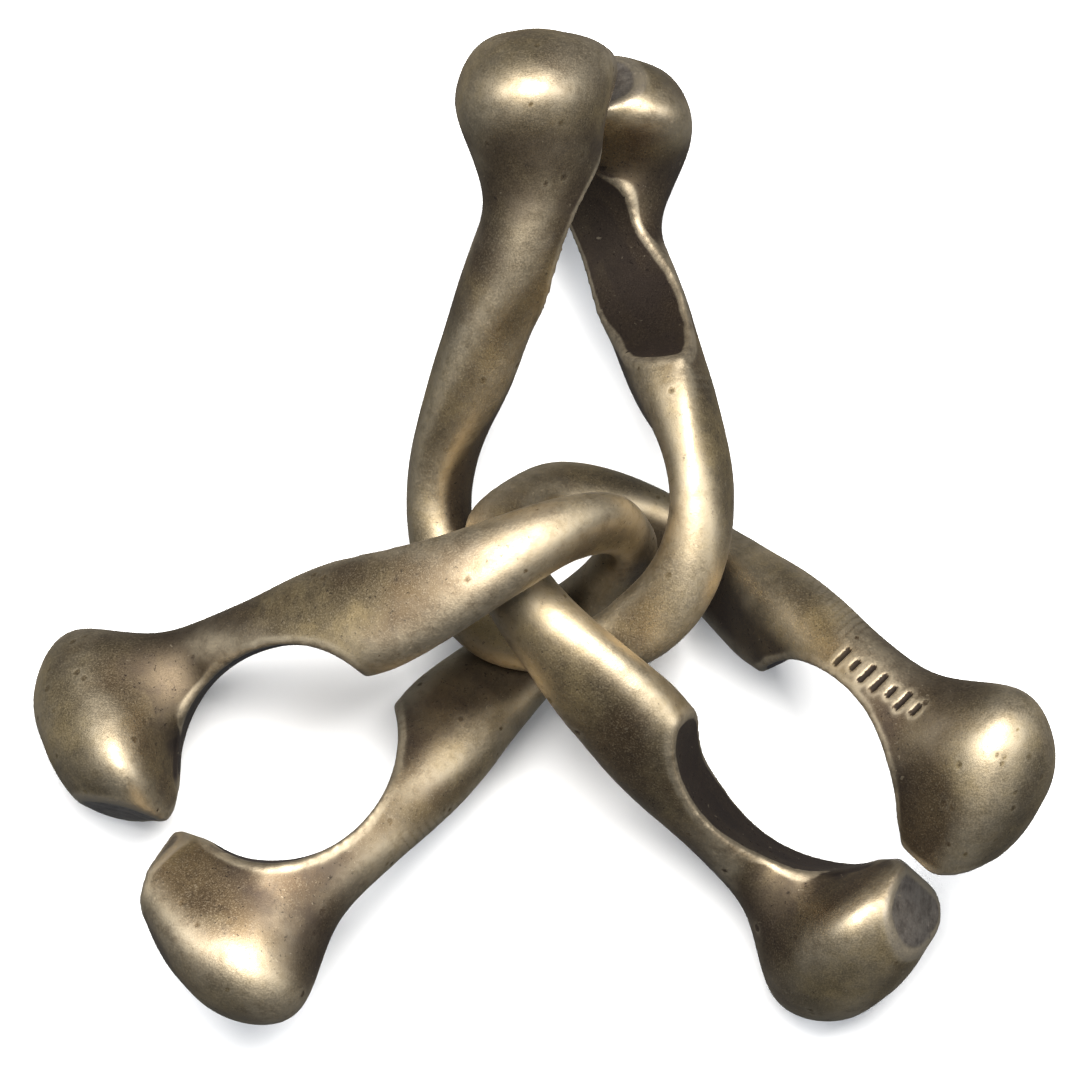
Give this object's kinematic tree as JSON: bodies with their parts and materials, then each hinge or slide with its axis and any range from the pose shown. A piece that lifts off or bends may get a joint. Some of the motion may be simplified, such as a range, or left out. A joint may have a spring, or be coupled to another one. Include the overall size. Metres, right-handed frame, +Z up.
{
  "type": "metal ring disentanglement puzzle",
  "caption": "Cast metal disentanglement puzzle of identical twisted open rings with bulb ends, linked through one another and lying flat.",
  "frame": {"origin": "on the table under the middle of the linked rings' bounding box", "axes": "+Z up from the table, +Y along the upper ring towards its bulbs, +X to the right of it"},
  "size_m": [0.0776, 0.0782, 0.0356],
  "materials": {
    "antique_brass": "satin"
  },
  "bodies": {
    "upper": {"upper_ring": "antique_brass"},
    "left": {"left_ring": "antique_brass"},
    "right": {"right_ring": "antique_brass"}
  },
  "joints": [
    {"name": "left_swing", "type": "hinge", "parent": "upper", "child": "left", "pos_m": [0.00045, -0.00631, 0.01335], "axis": [-0.8917, 0.0401, -0.4509], "range_deg": [-20, 8]},
    {"name": "right_swing", "type": "hinge", "parent": "upper", "child": "right", "pos_m": [0.00465, -0.00761, 0.01125], "axis": [0.3786, 0.2292, 0.8967], "range_deg": [-30, 6]}
  ]
}
